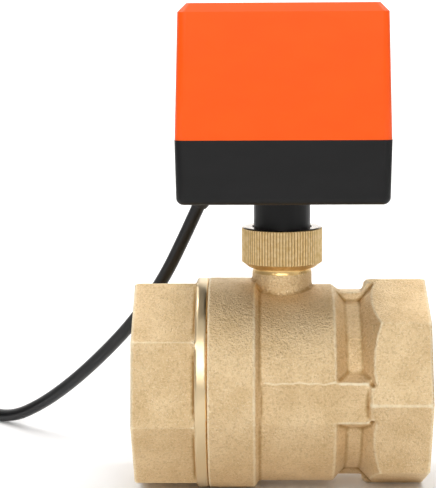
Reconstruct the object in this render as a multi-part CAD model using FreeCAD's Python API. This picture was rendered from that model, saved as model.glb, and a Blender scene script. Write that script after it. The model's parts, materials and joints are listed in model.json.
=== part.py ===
import FreeCAD, Part
import math
import os

# Motor-driven two-piece brass ball valve, DN50 (G2), with its control lead.
# Millimetres. The model is laid out in the stem's frame: X along the flow, Y towards
# the back, Z up from the surface that the valve stands on. It is exported with the
# origin under the middle of the valve.

V = FreeCAD.Vector

# --- valve, along the flow axis ---------------------------------------------------
AXIS_Z = 38.0              # height of the flow axis
CAP_END_X = -52.75         # outer face of the end cap
BODY_END_X = 51.55         # outer face of the body
SHIFT_X = -(CAP_END_X + BODY_END_X) / 2
BODY_FLATS = 70.2          # octagons, across flats
CAP_FLATS = 71.0
COLLAR_R = 38.0
COLLAR_X = -30.7           # where the end cap's collar begins
JOINT_X = -26.5            # face joint between end cap and body
RING_X = -9.9              # end of the body's heavy ring
WAIST_X = -8.3
WAIST_R = 35.6             # barrel of the body
GROOVE_X = 17.9            # start of the groove before the body's octagon
RIB_R = 33.8
OCTAGON_X = 29.2
OCTAGON_START_R = 2.0      # rounding where the octagon rises out of the groove
POCKET_R = 31.0            # floor of the pockets
POCKET_X = (22.0, 27.6)
POCKET_ANGLES = (12.0, 81.0)
FLASH_Y = 34.85            # the parting line is trimmed to a flat this far out
BRIDGE_HALF = 7.0          # half height of the rib that carries this flat across the groove
BRIDGE_FOOT = (29.0, 9.8)  # where each flank of the rib ends, out from and above the flow axis
CAP_TURN = 11.8            # the screwed-in cap's octagon stops this far from the body's
END_EDGE_R = 0.8           # rounding of the octagons' outer ends

THREAD_R = 29.8            # G2, major radius
THREAD_DEPTH = 19.75
PORT_R = 23.0
BALL_R = 30.5
SEAT_X = 22.0              # back of each seat
SEAT_R = 28.5
SEAT_FACE_X = 13.0
CHAMBER_R = 31.2
CHAMBER_X0 = -13.4
CHAMBER_X1 = 14.0
CAP_THREAD_R = 34.0
GASKET_T = 1.0

# --- stem and neck ----------------------------------------------------------------
STEM_R = 6.0
RUNNING = 0.05             # radial clearance of running fits
SHOULDER_R = 8.3
SHOULDER_Z = AXIS_Z + 30.8
WASHER_Z = AXIS_Z + 32.3
COUNTERBORE_Z = AXIS_Z + 33.0
NECK_R = 10.75
COVE_R = 3.2               # cast fillet round the foot of the neck
NECK_COVE_Z = AXIS_Z + 35.8
NECK_STEP_Z = AXIS_Z + 41.0
NECK_THREAD_Z = AXIS_Z + 43.4
NECK_TOP_Z = AXIS_Z + 50.9
NECK_THREAD_R = 11.5
STEM_TOP_Z = AXIS_Z + 58.0
STEM_FLATS = 8.0
SLOT_Z = AXIS_Z + 25.2
O_RING_Z = (AXIS_Z + 38.0, AXIS_Z + 43.5)
O_RING_GROOVE_R = 4.2
O_RING_SECTION_R = 0.88

# --- union nut --------------------------------------------------------------------
NUT_R = 14.5
NUT_Z0 = AXIS_Z + 42.8
NUT_KNURL_Z = AXIS_Z + 44.5
NUT_Z1 = AXIS_Z + 57.2
NUT_CAVITY_Z = AXIS_Z + 54.1
NUT_CAVITY_R = 12.2
NUT_HOLE_R = 10.75
KNURLS = 82
KNURL_DEPTH = 0.34

# --- actuator housing -------------------------------------------------------------
BASE_Z = 106.35
SEAM_Z = 128.55
TOP_Z = 174.6
HALF_X = 37.0
HALF_Y = 33.0
CORNER_R = 3.0
WALL = 2.3
FLOOR = 3.0
COVER_INSET = 0.1          # the cover stands this far inside the base
COVER_DRAFT = 1.2          # taper of each side of the cover, seam to top
BASE_DRAFT = 0.45          # and of the base, seam to underside
TOP_CHAMFER = 3.0
BASE_EDGE_R = 2.5
SPIGOT_R = 10.15           # neck under the base
SPIGOT_BORE_R = 7.0
FLANGE_R = 11.9
FLANGE_T = 3.0
BUSH_Z = (BASE_Z - 8.4, BASE_Z - 0.4)
PILLAR = (31.4, 27.0)
PILLAR_R = 3.8
SCREW_R = 1.45             # M3 shank
SCREW_HEAD_R = 2.75
SCREW_HEAD_H = 2.0
FLOOR_Z = BASE_Z + FLOOR

# --- gear train -------------------------------------------------------------------
MODULE = 0.8
PRESSURE = math.radians(20.0)
BACKLASH = 0.14
OUTPUT_TEETH = 44
IDLER_PINION_TEETH = 16
IDLER_WHEEL_TEETH = 32
MOTOR_TEETH = 14
LOWER_PLATE_Z = BASE_Z + 19.6
UPPER_PLATE_Z = LOWER_PLATE_Z + 17.0
PLATE_T = 1.5
OUTPUT_GEAR_Z = (LOWER_PLATE_Z + 2.5, LOWER_PLATE_Z + 8.5)
IDLER_PINION_Z = (LOWER_PLATE_Z + 2.2, LOWER_PLATE_Z + 10.0)
IDLER_WHEEL_Z = (LOWER_PLATE_Z + 10.0, LOWER_PLATE_Z + 14.0)
MOTOR_PINION_Z = (LOWER_PLATE_Z + 9.8, LOWER_PLATE_Z + 14.2)
IDLER_ANGLE = 33.5         # direction from the output shaft to the idler
MOTOR_ANGLE = 170.0        # direction from the idler to the motor's pinion
OUTPUT_SHAFT_R = 5.0
OUTPUT_TIP_R = 3.0
SOCKET_R = 6.6             # outside of the output shaft's socket for the stem
SOCKET_Z = BASE_Z - 8.9
IDLER_SHAFT_R = 2.0
MOTOR_SHAFT_R = 2.5
MOTOR = (-8.8, 2.0)
MOTOR_R = 24.0
MOTOR_H = 21.0
STANDOFFS = ((-24.0, -25.0), (24.0, -25.0), (-23.0, 26.5), (8.0, 26.5))
MOTOR_SCREWS = ((-24.0, -6.0), (-4.0, -15.0))

# --- limit switches ---------------------------------------------------------------
CAM_R = 7.8
LOBE_R = 9.2
LOBE_HALF_ANGLE = 18.0
CAM_Z = (BASE_Z + 6.6, BASE_Z + 10.6)
SWITCH_Z = (BASE_Z + 5.4, BASE_Z + 11.8)
SWITCH_FACE = 10.6         # distance of the switch's face from the shaft
SWITCH_DEPTH = 10.3
SWITCH_HALF = 10.0
SWITCH_HOLE = 4.75
PLUNGER_R = 0.9
PLUNGER_TIP = 9.5
SWITCH_DIRECTIONS = {"open": -90.0, "closed": 0.0}

# --- circuit board ----------------------------------------------------------------
BOARD_X = 17.2
BOARD_T = 1.6
BOARD_FACE_X = BOARD_X + BOARD_T
BOARD_Z = (BASE_Z + 39.8, BASE_Z + 60.0)
BOARD_HALF_Y = 22.0
BRACKET_T = 1.2

# --- control lead -----------------------------------------------------------------
LEAD_R = 2.5
LEAD_EXIT = V(-28.0, 16.8, BASE_Z)
LEAD_DIRECTION = V(-0.39, 0.32, -0.86)
GROMMET_TIP = 6.3          # along the lead, from the underside of the base
FIRST_RUN = 17.0           # the lead leaves the relief straight for this far
LEAD_ROUTE = (
    (-45.2, 31.0, 70.0),
    (-57.0, 40.8, 52.6),
    (-70.0, 51.7, 37.6),
    (-84.2, 63.4, 23.2),
    (-98.8, 75.5, 11.0),
    (-113.2, 87.4, 2.5),
    (-128.6, 100.8, 2.5),
)
COIL_CENTRE = V(-162.0, 89.0, 0.0)
COIL_ENTRY_ANGLE = 50.9
COIL_R_OUT = 30.0          # radius of the lead's centreline in the outer turns
COIL_R_IN = 25.0
TAIL_LENGTH = 46.0
CORE_R = 0.8
CORE_LENGTH = 26.0


def box(x0, x1, y0, y1, z0, z1):
    return Part.makeBox(x1 - x0, y1 - y0, z1 - z0, V(x0, y0, z0))


def rod(r, z0, z1, x=0.0, y=0.0):
    return Part.makeCylinder(r, z1 - z0, V(x, y, z0))


def ring(r_in, r_out, z0, z1, x=0.0, y=0.0):
    return rod(r_out, z0, z1, x, y).cut(rod(r_in, z0, z1, x, y))


def flow_rod(r, x0, x1):
    return Part.makeCylinder(r, x1 - x0, V(x0, 0, AXIS_Z), V(1, 0, 0))


def rod_along(r, start, direction, length):
    return Part.makeCylinder(r, length, start, direction)


def turned(profile):
    """Solid of revolution about the flow axis from (x, radius) corners."""
    corners = [V(x, 0, AXIS_Z + r) for x, r in profile]
    face = Part.Face(Part.makePolygon(corners + corners[:1]))
    return face.revolve(V(0, 0, AXIS_Z), V(1, 0, 0), 360)


def spun(profile):
    """Solid of revolution about the stem from (radius, z) corners."""
    corners = [V(r, 0, z) for r, z in profile]
    face = Part.Face(Part.makePolygon(corners + corners[:1]))
    return face.revolve(V(0, 0, 0), V(0, 0, 1), 360)


def prism(points, z0, z1):
    corners = [V(x, y, z0) for x, y in points]
    return Part.Face(Part.makePolygon(corners + corners[:1])).extrude(V(0, 0, z1 - z0))


def polar(r, degrees, x=0.0, y=0.0):
    a = math.radians(degrees)
    return x + r * math.cos(a), y + r * math.sin(a)


def fused(shapes):
    result = shapes[0].multiFuse(shapes[1:])
    return result.removeSplitter()


def cut_all(shape, tools):
    for tool in tools:
        shape = shape.cut(tool)
    return shape


def rounded_rectangle(half_x, half_y, r, z):
    """Closed wire of a rectangle with round corners, centred on the stem."""
    cx, cy = half_x - r, half_y - r
    edges = []
    for sx, sy, start in ((1, 1, 0), (-1, 1, 90), (-1, -1, 180), (1, -1, 270)):
        a = [polar(r, start + turn, sx * cx, sy * cy) for turn in (0, 45, 90)]
        p, q, s = [V(x, y, z) for x, y in a]
        if edges:
            edges.append(Part.LineSegment(edges[-1].valueAt(edges[-1].LastParameter), p).toShape())
        edges.append(Part.Arc(p, q, s).toShape())
    last = edges[-1].valueAt(edges[-1].LastParameter)
    first = edges[0].valueAt(edges[0].FirstParameter)
    edges.append(Part.LineSegment(last, first).toShape())
    return Part.Wire(edges)


def rounded_block(half_x, half_y, r, z0, z1):
    return Part.Face(rounded_rectangle(half_x, half_y, r, z0)).extrude(V(0, 0, z1 - z0))


def octagon_bar(flats, turn, x0, x1, round_x0, round_x1):
    """Octagonal bar along the flow with its two end outlines rounded over."""
    r = flats / 2 / math.cos(math.pi / 8)
    corners = []
    for k in range(8):
        y, z = polar(r, turn + 45 * k)
        corners.append(V(x0, y, AXIS_Z + z))
    bar = Part.Face(Part.makePolygon(corners + corners[:1])).extrude(V(x1 - x0, 0, 0))
    for x, radius in ((x0, round_x0), (x1, round_x1)):
        if radius:
            edges = [e for e in bar.Edges if all(abs(v.X - x) < 0.01 for v in e.Vertexes)]
            bar = bar.makeFillet(radius, edges)
    return bar


def gear(teeth, span, centre, bore_r, phase):
    """Involute spur gear with straight facets along each flank."""
    pitch_r = MODULE * teeth / 2
    base_r = pitch_r * math.cos(PRESSURE)
    tip_r = pitch_r + 0.95 * MODULE
    root_r = pitch_r - 1.25 * MODULE
    foot_r = max(base_r, root_r + 0.05)

    def half_angle(r):
        roll = math.acos(min(1.0, base_r / r))
        at_pitch = math.pi / (2 * teeth) - BACKLASH / (2 * pitch_r)
        return at_pitch + (math.tan(PRESSURE) - PRESSURE) - (math.tan(roll) - roll)

    steps = 4
    flank = [(root_r, half_angle(foot_r))]
    for k in range(steps + 1):
        r = foot_r + (tip_r - foot_r) * k / steps
        flank.append((r, half_angle(r)))
    outline = []
    for tooth in range(teeth):
        middle = math.radians(phase) + 2 * math.pi * tooth / teeth
        for r, half in flank:
            outline.append((r, middle - half))
        for r, half in reversed(flank):
            outline.append((r, middle + half))
    x, y = centre
    points = [(x + r * math.cos(a), y + r * math.sin(a)) for r, a in outline]
    return prism(points, *span).cut(rod(bore_r, span[0], span[1], x, y))


def cord(points, radius, label=None):
    """Round tube along straight runs joined by tangent arcs."""
    points = [V(*p) for p in points]
    edges = []
    radii = []
    here = points[0]
    for before, corner, after in zip(points, points[1:], points[2:]):
        back, ahead = before - corner, after - corner
        half_turn = (math.pi - back.getAngle(ahead)) / 2
        reach = 0.45 * min(back.Length, ahead.Length)
        arc_r = reach / math.tan(half_turn)
        back.normalize()
        ahead.normalize()
        start, end = corner + back * reach, corner + ahead * reach
        inward = back + ahead
        inward.normalize()
        centre = corner + inward * (arc_r / math.cos(half_turn))
        middle = centre - inward * arc_r
        edges.append(Part.LineSegment(here, start).toShape())
        edges.append(Part.Arc(start, middle, end).toShape())
        radii.append(arc_r)
        here = end
    edges.append(Part.LineSegment(here, points[-1]).toShape())
    path = Part.Wire(edges)
    section = Part.Wire(Part.makeCircle(radius, points[0], points[1] - points[0]))
    tube = path.makePipeShell([section], True, False)
    if label:
        ideal = math.pi * radius ** 2 * path.Length
        print(label, "radii", [round(r, 1) for r in radii], "length", round(path.Length, 1),
              "volume ratio", round(tube.Volume / ideal, 4))
    return tube


# --- valve ------------------------------------------------------------------------
def pocket_cutters():
    """Four pockets in the groove, between the ribs at the top, bottom, front and back."""
    rise_left, rise_right, out_r = 1.185, 1.08, 42.0
    depth = out_r - POCKET_R
    x0, x1 = POCKET_X
    channel = turned([
        (x0, POCKET_R), (x1, POCKET_R), (x1 + depth / rise_right, out_r), (x0 - depth / rise_left, out_r)])
    span = 30.0
    cutters = []
    for side in (-1, 1):
        for level in (-1, 1):
            inner = [polar(POCKET_R, angle) for angle in POCKET_ANGLES]
            outer = [polar(52.0, 3.5), polar(60.0, 60.0), polar(46.0, 91.5)]
            outline = [inner[0]] + outer + [inner[1]]
            corners = [V(10, side * y, AXIS_Z + level * z) for y, z in outline]
            wedge = Part.Face(Part.makePolygon(corners + corners[:1])).extrude(V(span, 0, 0))
            cutters.append(channel.common(wedge))
    return cutters


def neck_foot():
    """Flared foot of the neck, a cove turned about the stem."""
    low, out_r = AXIS_Z + 30, NECK_R + COVE_R
    corners = [V(NECK_R, 0, NECK_COVE_Z), V(0, 0, NECK_COVE_Z), V(0, 0, low), V(out_r, 0, low),
               V(out_r, 0, NECK_COVE_Z - COVE_R)]
    edges = [Part.LineSegment(a, b).toShape() for a, b in zip(corners, corners[1:])]
    x, z = polar(COVE_R, 225, out_r, NECK_COVE_Z)
    edges.append(Part.Arc(corners[-1], V(x, 0, z), corners[0]).toShape())
    return Part.Face(Part.Wire(edges)).revolve(V(0, 0, 0), V(0, 0, 1), 360)


def parting_bridge(side):
    """Rib on the parting line, with sloped flanks, from the barrel's flat to the octagon."""
    foot_y, foot_z = BRIDGE_FOOT
    outline = [(foot_y, foot_z), (FLASH_Y, BRIDGE_HALF), (FLASH_Y, -BRIDGE_HALF), (foot_y, -foot_z)]
    corners = [V(GROOVE_X, side * y, AXIS_Z + z) for y, z in outline]
    return Part.Face(Part.makePolygon(corners + corners[:1])).extrude(V(OCTAGON_X + 0.5 - GROOVE_X, 0, 0))


def valve_body():
    shell = turned([
        (JOINT_X, 0), (JOINT_X, COLLAR_R), (RING_X, COLLAR_R), (WAIST_X, WAIST_R),
        (GROOVE_X, WAIST_R), (GROOVE_X + 2.5, RIB_R), (OCTAGON_X + 4, RIB_R), (OCTAGON_X + 4, 0)])
    end = octagon_bar(BODY_FLATS, 0, OCTAGON_X, BODY_END_X, OCTAGON_START_R, END_EDGE_R)
    casting = fused([shell, end, rod(NECK_R, AXIS_Z + 30, NECK_STEP_Z), neck_foot()])
    thread = spun([
        (0, NECK_STEP_Z - 1), (NECK_R, NECK_STEP_Z - 1), (NECK_R, NECK_STEP_Z),
        (NECK_R - 0.3, NECK_STEP_Z), (NECK_R - 0.3, NECK_THREAD_Z - 0.6),
        (NECK_THREAD_R, NECK_THREAD_Z), (NECK_THREAD_R, NECK_TOP_Z - 0.6),
        (NECK_THREAD_R - 0.6, NECK_TOP_Z), (0, NECK_TOP_Z)])
    casting = fused([casting, thread])
    reach = WAIST_R + 5
    for side in (-1, 1):
        near, far = sorted((side * FLASH_Y, side * reach))
        casting = casting.cut(box(WAIST_X + 0.2, OCTAGON_X - 0.2, near, far, AXIS_Z - 12, AXIS_Z + 12))
    bore_x = BODY_END_X - THREAD_DEPTH
    hollow = turned([
        (JOINT_X - 1, 0), (JOINT_X - 1, CAP_THREAD_R), (CHAMBER_X0, CAP_THREAD_R),
        (CHAMBER_X0, CHAMBER_R), (CHAMBER_X1, CHAMBER_R), (CHAMBER_X1, SEAT_R),
        (SEAT_X, SEAT_R), (SEAT_X, PORT_R), (bore_x, PORT_R), (bore_x, THREAD_R),
        (BODY_END_X - 1, THREAD_R), (BODY_END_X, THREAD_R + 1), (BODY_END_X + 1, THREAD_R + 1),
        (BODY_END_X + 1, 0)])
    stem_hole = rod(STEM_R + RUNNING, AXIS_Z + 25, NECK_TOP_Z + 1)
    counterbore = rod(SHOULDER_R + 0.3, AXIS_Z + 25, COUNTERBORE_Z)
    casting = cut_all(casting, pocket_cutters())
    casting = fused([casting, parting_bridge(-1), parting_bridge(1)])
    return cut_all(casting, [hollow, stem_hole, counterbore])


def end_cap():
    bar = octagon_bar(CAP_FLATS, CAP_TURN, CAP_END_X, COLLAR_X + 1, END_EDGE_R, 0)
    collar = turned([
        (COLLAR_X, 0), (COLLAR_X, COLLAR_R - 0.5), (COLLAR_X + 0.5, COLLAR_R),
        (JOINT_X - 0.3, COLLAR_R), (JOINT_X, COLLAR_R - 0.3), (JOINT_X, 0)])
    spigot = flow_rod(CAP_THREAD_R - RUNNING, JOINT_X, CHAMBER_X0 - GASKET_T)
    bore_x = CAP_END_X + THREAD_DEPTH
    hollow = turned([
        (CAP_END_X - 1, 0), (CAP_END_X - 1, THREAD_R + 1), (CAP_END_X, THREAD_R + 1),
        (CAP_END_X + 1, THREAD_R), (bore_x, THREAD_R), (bore_x, PORT_R), (-SEAT_X, PORT_R),
        (-SEAT_X, SEAT_R), (0, SEAT_R), (0, 0)])
    return fused([bar, collar, spigot]).cut(hollow)


def seat(side):
    blank = flow_rod(SEAT_R, *sorted((side * SEAT_FACE_X, side * SEAT_X)))
    blank = blank.cut(flow_rod(PORT_R + 0.3, -SEAT_X - 1, SEAT_X + 1))
    return blank.cut(Part.makeSphere(BALL_R + 0.1, V(0, 0, AXIS_Z)))


def ball():
    blank = Part.makeSphere(BALL_R, V(0, 0, AXIS_Z))
    slot = box(-STEM_FLATS / 2 - 0.1, STEM_FLATS / 2 + 0.1, -BALL_R, BALL_R, SLOT_Z, AXIS_Z + 35)
    return cut_all(blank, [flow_rod(PORT_R, -40, 40), slot])


def stem():
    tang = box(-STEM_FLATS / 2, STEM_FLATS / 2, -7, 7, SLOT_Z + 0.4, SHOULDER_Z)
    shoulder = rod(SHOULDER_R, SHOULDER_Z, WASHER_Z)
    journal = rod(STEM_R, WASHER_Z, NECK_TOP_Z)
    for z in O_RING_Z:
        journal = journal.cut(ring(O_RING_GROOVE_R, STEM_R + 1, z - 1.1, z + 1.1))
    return fused([tang, shoulder, journal, double_d(STEM_R, STEM_FLATS, NECK_TOP_Z, STEM_TOP_Z)])


def double_d(r, flats, z0, z1):
    return rod(r, z0, z1).common(box(-flats / 2, flats / 2, -r, r, z0, z1))


def stem_o_rings():
    middle_r = O_RING_GROOVE_R + O_RING_SECTION_R + 0.02
    rings = [Part.makeTorus(middle_r, O_RING_SECTION_R, V(0, 0, z)) for z in O_RING_Z]
    return Part.makeCompound(rings)


def union_nut():
    outline = []
    for k in range(KNURLS):
        outline.append(polar(NUT_R, 360.0 * k / KNURLS))
        outline.append(polar(NUT_R - KNURL_DEPTH, 360.0 * (k + 0.5) / KNURLS))
    knurled = prism(outline, NUT_Z0, NUT_Z1)
    turned_blank = spun([
        (0, NUT_Z0), (NECK_THREAD_R + 0.7, NUT_Z0), (NUT_R - 0.2, NUT_KNURL_Z),
        (NUT_R + 1, NUT_KNURL_Z + 0.4), (NUT_R + 1, NUT_Z1 - 1.1), (NUT_R - 0.9, NUT_Z1), (0, NUT_Z1)])
    hollow = spun([
        (0, NUT_Z0 - 1), (NECK_THREAD_R + RUNNING, NUT_Z0 - 1), (NECK_THREAD_R + RUNNING, NECK_TOP_Z),
        (NUT_CAVITY_R, NECK_TOP_Z), (NUT_CAVITY_R, NUT_CAVITY_Z), (NUT_HOLE_R, NUT_CAVITY_Z),
        (NUT_HOLE_R, NUT_Z1 + 1), (0, NUT_Z1 + 1)])
    return knurled.common(turned_blank).cut(hollow)


# --- housing ----------------------------------------------------------------------
def corners_of(x, y):
    return [(sx * x, sy * y) for sx in (-1, 1) for sy in (-1, 1)]


def gasket_ring(z0, z1, slack):
    outer = rounded_block(HALF_X - 0.6 + slack, HALF_Y - 0.6 + slack, 2.4, z0, z1)
    return outer.cut(rounded_block(HALF_X - 1.7 - slack, HALF_Y - 1.7 - slack, 1.3, z0, z1))


def lead_axis(offset):
    direction = V(LEAD_DIRECTION)
    direction.normalize()
    return LEAD_EXIT + direction * offset


def actuator_base():
    top = rounded_rectangle(HALF_X, HALF_Y, CORNER_R, SEAM_Z)
    underside = rounded_rectangle(HALF_X - BASE_DRAFT, HALF_Y - BASE_DRAFT, CORNER_R, BASE_Z)
    block = Part.makeLoft([underside, top], True, True)
    rim = [e for e in block.Edges if e.BoundBox.ZMax < BASE_Z + 0.01]
    block = block.makeFillet(BASE_EDGE_R, rim)
    tray = block.cut(rounded_block(HALF_X - WALL, HALF_Y - WALL, 1.0, FLOOR_Z, SEAM_Z + 1))
    solids = [tray]
    holes = [rod(SPIGOT_R + 0.02, BASE_Z - 1, FLOOR_Z + 1), gasket_ring(SEAM_Z - 0.8, SEAM_Z + 1, 0.02)]
    for x, y in corners_of(*PILLAR):
        solids.append(rod(PILLAR_R, FLOOR_Z - 1, SEAM_Z, x, y))
        holes.append(rod(SCREW_R + 0.2, BASE_Z - 1, SEAM_Z + 1, x, y))
        holes.append(rod(SCREW_HEAD_R + 0.3, BASE_Z - 1, FLOOR_Z, x, y))
    for x, y in STANDOFFS:
        solids.append(rod(3.2, FLOOR_Z - 1, LOWER_PLATE_Z, x, y))
        holes.append(rod(1.3, LOWER_PLATE_Z - 8, LOWER_PLATE_Z + 1, x, y))
    for x, y in switch_hole_places():
        solids.append(rod(2.3, FLOOR_Z - 1, SWITCH_Z[0], x, y))
        holes.append(rod(1.05, FLOOR_Z - 1, SWITCH_Z[0] + 1, x, y))
    holes.append(rod_along(4.2, lead_axis(-10), LEAD_DIRECTION, 20))
    return cut_all(fused(solids), holes)


def actuator_neck():
    """Neck set in the floor of the base; the union nut holds its flange on the valve."""
    sleeve = rod(SPIGOT_R, NECK_TOP_Z, FLOOR_Z)
    lip = rod(SPIGOT_R + 2.0, FLOOR_Z, FLOOR_Z + 1.5)
    flange = rod(FLANGE_R, NECK_TOP_Z, NECK_TOP_Z + FLANGE_T)
    return fused([sleeve, lip, flange]).cut(rod(SPIGOT_BORE_R, NECK_TOP_Z - 1, FLOOR_Z + 2))


def tapered_block(half_x, half_y, corner_r, chamfer, z1, inset):
    """Block from the seam to z1, slightly drafted, with a bevel round the top."""
    wires = [
        rounded_rectangle(half_x, half_y, corner_r, SEAM_Z),
        rounded_rectangle(half_x - inset, half_y - inset, corner_r, z1 - chamfer),
        rounded_rectangle(half_x - inset - chamfer, half_y - inset - chamfer,
                          max(0.6, corner_r - chamfer * 0.5), z1)]
    return Part.makeLoft(wires, True, True)


def actuator_cover():
    outer = tapered_block(HALF_X - COVER_INSET, HALF_Y - COVER_INSET, CORNER_R, TOP_CHAMFER,
                          TOP_Z, COVER_DRAFT)
    inner = tapered_block(HALF_X - WALL - COVER_INSET, HALF_Y - WALL - COVER_INSET, 1.2, 2.0,
                          TOP_Z - WALL, COVER_DRAFT)
    shell = outer.cut(inner)
    pillars = [rod(PILLAR_R, SEAM_Z, TOP_Z - 1, x, y).common(outer) for x, y in corners_of(*PILLAR)]
    holes = [rod(SCREW_R, SEAM_Z - 1, SEAM_Z + 13, x, y) for x, y in corners_of(*PILLAR)]
    return cut_all(fused([shell] + pillars), holes)


def cover_screws():
    screws = []
    face_z = FLOOR_Z - SCREW_HEAD_H
    for x, y in corners_of(*PILLAR):
        shank = rod(SCREW_R, FLOOR_Z - 0.5, SEAM_Z + 12, x, y)
        head = rod(SCREW_HEAD_R, face_z, FLOOR_Z, x, y)
        slot = box(x - 2, x + 2, y - 0.35, y + 0.35, face_z - 1, face_z + 0.9)
        cross = slot.copy()
        cross.rotate(V(x, y, 0), V(0, 0, 1), 90)
        screws.append(cut_all(fused([shank, head]), [slot, cross]))
    return Part.makeCompound(screws)


# --- gear train -------------------------------------------------------------------
OUTPUT_TO_IDLER = MODULE * (OUTPUT_TEETH + IDLER_PINION_TEETH) / 2 + 0.05
IDLER_TO_MOTOR = MODULE * (IDLER_WHEEL_TEETH + MOTOR_TEETH) / 2 + 0.05
IDLER = polar(OUTPUT_TO_IDLER, IDLER_ANGLE)
PINION = polar(IDLER_TO_MOTOR, MOTOR_ANGLE, *IDLER)


def plate(z):
    """Steel plate that clears the corner pillars, with a notch for the wires."""
    half_x, half_y = 33.4, 29.3
    corner_x, corner_y = 26.9, 22.5
    sheet = box(-half_x, half_x, -half_y, half_y, z, z + PLATE_T)
    for sx in (-1, 1):
        for sy in (-1, 1):
            x0, x1 = sorted((sx * corner_x, sx * 40))
            y0, y1 = sorted((sy * corner_y, sy * 40))
            sheet = sheet.cut(box(x0, x1, y0, y1, z - 1, z + 3))
    sheet = sheet.cut(box(-17.5, -2.0, 27.2, 40, z - 1, z + 3))
    for x, y in STANDOFFS:
        sheet = sheet.cut(rod(1.45, z - 1, z + 3, x, y))
    return sheet.cut(rod(IDLER_SHAFT_R + RUNNING, z - 1, z + 3, *IDLER))


def gear_plate_lower():
    z = LOWER_PLATE_Z
    return plate(z).cut(rod(OUTPUT_SHAFT_R + RUNNING, z - 1, z + 3))


def gear_plate_upper():
    z = UPPER_PLATE_Z
    holes = [rod(OUTPUT_TIP_R + RUNNING, z - 1, z + 3), rod(5.7, z - 1, z + 3, *PINION)]
    holes += [rod(1.45, z - 1, z + 3, x, y) for x, y in MOTOR_SCREWS]
    return cut_all(plate(z), holes)


def plate_standoffs():
    across = 5.5 / 2 / math.cos(math.pi / 6)
    bottom, top = LOWER_PLATE_Z + PLATE_T, UPPER_PLATE_Z
    pieces = []
    for x, y in STANDOFFS:
        hexagon = prism([polar(across, 60 * k, x, y) for k in range(6)], bottom, top)
        stud = rod(1.25, LOWER_PLATE_Z - 7, bottom + 1, x, y)
        pieces.append(fused([hexagon, stud]).cut(rod(1.25, top - 7, top + 1, x, y)))
    return Part.makeCompound(pieces)


def pan_screw(x, y, seat_z, length, shank_r, head_r, head_h):
    """Screw driven down: its head stands on seat_z."""
    head = rod(head_r, seat_z, seat_z + head_h, x, y)
    slot_r = head_r * 0.7
    slot = box(x - slot_r, x + slot_r, y - 0.3, y + 0.3, seat_z + head_h * 0.5, seat_z + head_h + 1)
    cross = slot.copy()
    cross.rotate(V(x, y, 0), V(0, 0, 1), 90)
    return cut_all(fused([head, rod(shank_r, seat_z - length, seat_z + 0.5, x, y)]), [slot, cross])


def plate_screws():
    seat_z = UPPER_PLATE_Z + PLATE_T
    return Part.makeCompound([pan_screw(x, y, seat_z, 6.0, 1.2, 2.6, 1.8) for x, y in STANDOFFS])


def output_shaft():
    bottom = NECK_TOP_Z + 0.3
    shoulder, top = LOWER_PLATE_Z + 9.0, UPPER_PLATE_Z + 1.2
    shaft = spun([
        (0, bottom), (SOCKET_R, bottom), (SOCKET_R, SOCKET_Z), (OUTPUT_SHAFT_R, SOCKET_Z),
        (OUTPUT_SHAFT_R, shoulder), (OUTPUT_TIP_R, shoulder), (OUTPUT_TIP_R, top), (0, top)])
    socket = double_d(STEM_R + 0.1, STEM_FLATS + 0.1, bottom - 1, STEM_TOP_Z + 0.4)
    return shaft.cut(socket)


def limit_cam():
    x0, y0 = polar(30, SWITCH_DIRECTIONS["open"] - LOBE_HALF_ANGLE)
    x1, y1 = polar(30, SWITCH_DIRECTIONS["open"] + LOBE_HALF_ANGLE)
    lobe = rod(LOBE_R, *CAM_Z).common(prism([(0, 0), (x0, y0), (x1, y1)], *CAM_Z))
    return fused([rod(CAM_R, *CAM_Z), lobe]).cut(rod(OUTPUT_SHAFT_R, *CAM_Z))


def motor():
    x, y = MOTOR
    z0 = UPPER_PLATE_Z + PLATE_T
    can = rod(MOTOR_R, z0, z0 + MOTOR_H, x, y)
    top = [e for e in can.Edges if e.BoundBox.ZMin > z0 + 1 and e.Length > 100]
    can = can.makeFillet(1.5, top)
    boss = rod(5.5, z0 - 2.5, z0 + 1, *PINION)
    holes = [rod(MOTOR_SHAFT_R + RUNNING, z0 - 4, z0 + 6, *PINION)]
    holes += [rod(1.2, z0 - 1, z0 + 6, sx, sy) for sx, sy in MOTOR_SCREWS]
    return cut_all(fused([can, boss]), holes)


def motor_screws():
    """Two screws from below, heads under the upper plate."""
    screws = []
    for x, y in MOTOR_SCREWS:
        screw = pan_screw(x, y, -UPPER_PLATE_Z, 6.0, 1.15, 2.4, 1.6)
        screw.rotate(V(x, y, 0), V(1, 0, 0), 180)
        screws.append(screw)
    return Part.makeCompound(screws)


# --- limit switches ---------------------------------------------------------------
def facing(shape, name):
    """Turn a piece laid out along +X to its switch's direction."""
    shape.rotate(V(0, 0, 0), V(0, 0, 1), SWITCH_DIRECTIONS[name])
    return shape


def switch_hole_places():
    middle = SWITCH_FACE + SWITCH_DEPTH * 0.62
    places = []
    for turn in SWITCH_DIRECTIONS.values():
        for side in (-1, 1):
            angle = math.degrees(math.atan2(side * SWITCH_HOLE, middle))
            places.append(polar(math.hypot(middle, SWITCH_HOLE), angle + turn))
    return places


def switch_case(name):
    case = box(SWITCH_FACE, SWITCH_FACE + SWITCH_DEPTH, -SWITCH_HALF, SWITCH_HALF, *SWITCH_Z)
    case = case.makeFillet(0.5, [e for e in case.Edges if abs(e.Vertexes[0].Z - e.Vertexes[1].Z) > 1])
    middle_z = sum(SWITCH_Z) / 2
    guide = rod_along(PLUNGER_R + RUNNING, V(SWITCH_FACE - 1, 0, middle_z), V(1, 0, 0), 6.2)
    case = facing(case.cut(guide), name)
    low, high = SWITCH_Z
    return cut_all(case, [rod(1.05, low - 1, high + 1, x, y) for x, y in switch_hole_places()])


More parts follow.
